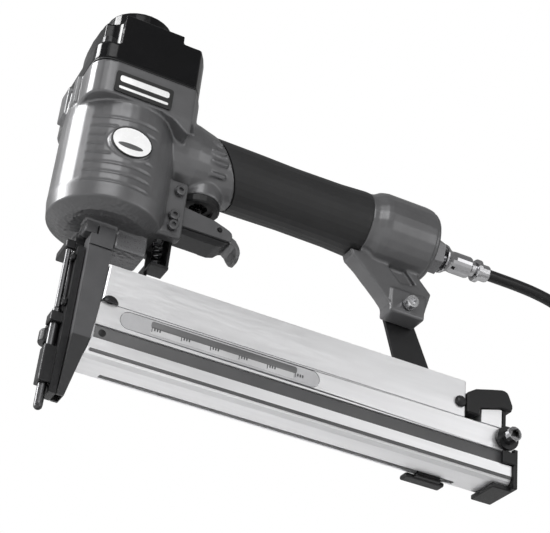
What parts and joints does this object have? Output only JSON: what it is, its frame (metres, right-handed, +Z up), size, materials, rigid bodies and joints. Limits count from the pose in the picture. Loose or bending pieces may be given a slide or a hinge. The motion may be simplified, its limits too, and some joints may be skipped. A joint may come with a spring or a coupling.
{
  "type": "pneumatic nail gun",
  "caption": "Air-powered brad nailer with a ribbed upright cylinder, rubber-gripped handle, finger trigger, long loading magazine and a leader hose.",
  "frame": {"origin": "the flat end of the safety rod at the nose tip, where the tool meets the work", "axes": "+Z up, opposite to the nail's drive; +X from the nose towards the handle's air inlet; the tool's left side faces -Y"},
  "size_m": [0.4086, 0.0852, 0.2234],
  "materials": {
    "casting": "satin grey enamel on a cast housing",
    "cap": "gloss black",
    "plastic": "satin black",
    "rubber": "matt dark grey, finely textured",
    "aluminium": "bright anodised extrusion",
    "dark_steel": "blackened steel",
    "steel": "bright steel",
    "chrome": "plated",
    "spring": "spring steel",
    "trigger": "satin dark grey",
    "label": "printed film, black",
    "badge": "white",
    "scale": "printed film",
    "hose": "smooth black hose"
  },
  "bodies": {
    "tool": {"body_casting": "casting", "cylinder_cap": "cap", "cap_gasket": "rubber", "deflector_screw": "dark_steel", "head_valve_spring": "spring", "cylinder_liner": "steel", "bumper": "rubber", "driver_guide": "dark_steel", "front_plate": "dark_steel", "safety_spring": "spring", "trigger_pin": "dark_steel", "ear_bolt_upper": "dark_steel", "ear_bolt_lower": "dark_steel", "valve_housing": "plastic", "label_plate": "label", "oval_badge": "badge", "grip_sleeve": "rubber", "inlet_plug": "casting", "air_nipple": "chrome", "coupler_body": "chrome", "hose_ferrule": "chrome", "hose": "hose", "hose_coil": "hose", "coil_tie": "plastic", "hose_tail": "hose", "hose_plug": "chrome", "magazine_rail": "aluminium", "front_stop": "dark_steel", "rail_screw": "dark_steel", "rail_strap": "dark_steel", "strap_bolt": "steel", "strap_nut": "steel", "core_rail": "steel", "cap_screw_1": "dark_steel", "front_screw_1": "dark_steel", "cap_screw_2": "dark_steel", "front_screw_2": "dark_steel", "cap_screw_3": "dark_steel", "front_screw_3": "dark_steel", "cap_screw_4": "dark_steel", "front_screw_4": "dark_steel"},
    "deflector": {"exhaust_deflector": "cap"},
    "head_valve_body": {"head_valve": "plastic"},
    "driver": {"piston": "aluminium", "driver_blade": "steel"},
    "safety": {"safety_rod": "steel", "safety_yoke": "dark_steel"},
    "wheel": {"depth_wheel": "dark_steel"},
    "trigger_body": {"trigger": "trigger", "lever_pin": "dark_steel"},
    "lever": {"trigger_lever": "steel"},
    "valve": {"valve_stem": "steel"},
    "sleeve": {"coupler_sleeve": "chrome"},
    "magazine": {"magazine_cover": "aluminium", "scale_plate": "scale", "end_cap": "plastic", "latch_bolt": "dark_steel"},
    "latch": {"latch_lever": "plastic", "latch_post": "aluminium"},
    "follower": {"pusher": "plastic"}
  },
  "joints": [
    {"name": "trigger_pull", "type": "hinge", "parent": "tool", "child": "trigger_body", "pos_m": [0.043, 0, 0.1102], "axis": [0, -1, 0], "range_deg": [0, 12], "stiffness_Nm_per_rad": 0.3, "springref_deg": -8.59},
    {"name": "lever_tilt", "type": "hinge", "parent": "trigger_body", "child": "lever", "pos_m": [0.0697, 0, 0.1159], "axis": [0, 1, 0], "range_deg": [0, 6]},
    {"name": "valve_stem_slide", "type": "slide", "parent": "tool", "child": "valve", "axis": [0, 0, 1], "range_m": [0, 0.002]},
    {"name": "safety_slide", "type": "slide", "parent": "tool", "child": "safety", "axis": [0, 0, 1], "range_m": [0, 0.006], "stiffness_N_per_m": 600, "springref_m": -0.006, "deforming": ["safety_spring"]},
    {"name": "depth_wheel_turn", "type": "hinge", "parent": "tool", "child": "wheel", "pos_m": [0.0004, 0.008, 0.0394], "axis": [0, 0, 1], "continuous": true},
    {"name": "driver_stroke", "type": "slide", "parent": "tool", "child": "driver", "axis": [0, 0, -1], "range_m": [0, 0.062]},
    {"name": "head_valve_slide", "type": "slide", "parent": "tool", "child": "head_valve_body", "axis": [0, 0, 1], "range_m": [0, 0.003], "stiffness_N_per_m": 700, "springref_m": -0.006, "deforming": ["head_valve_spring"]},
    {"name": "deflector_turn", "type": "hinge", "parent": "tool", "child": "deflector", "pos_m": [0.014, 0, 0.2075], "axis": [0, 0, 1], "continuous": true},
    {"name": "coupler_sleeve_slide", "type": "slide", "parent": "tool", "child": "sleeve", "axis": [1, 0, 0], "range_m": [0, 0.0028], "stiffness_N_per_m": 300, "springref_m": -0.003},
    {"name": "magazine_slide", "type": "slide", "parent": "tool", "child": "magazine", "axis": [1, 0, 0], "range_m": [0, 0.08]},
    {"name": "latch_tilt", "type": "hinge", "parent": "magazine", "child": "latch", "pos_m": [0.2335, 0, 0.05], "axis": [0, 1, 0], "range_deg": [0, 15], "stiffness_Nm_per_rad": 0.3, "springref_deg": -11.46},
    {"name": "pusher_slide", "type": "slide", "parent": "magazine", "child": "follower", "axis": [-1, 0, 0], "range_m": [0, 0.15]}
  ],
  "couplings": [
    {"joint": "valve_stem_slide", "follows": "trigger_pull", "m_per_rad": 0.009549}
  ]
}
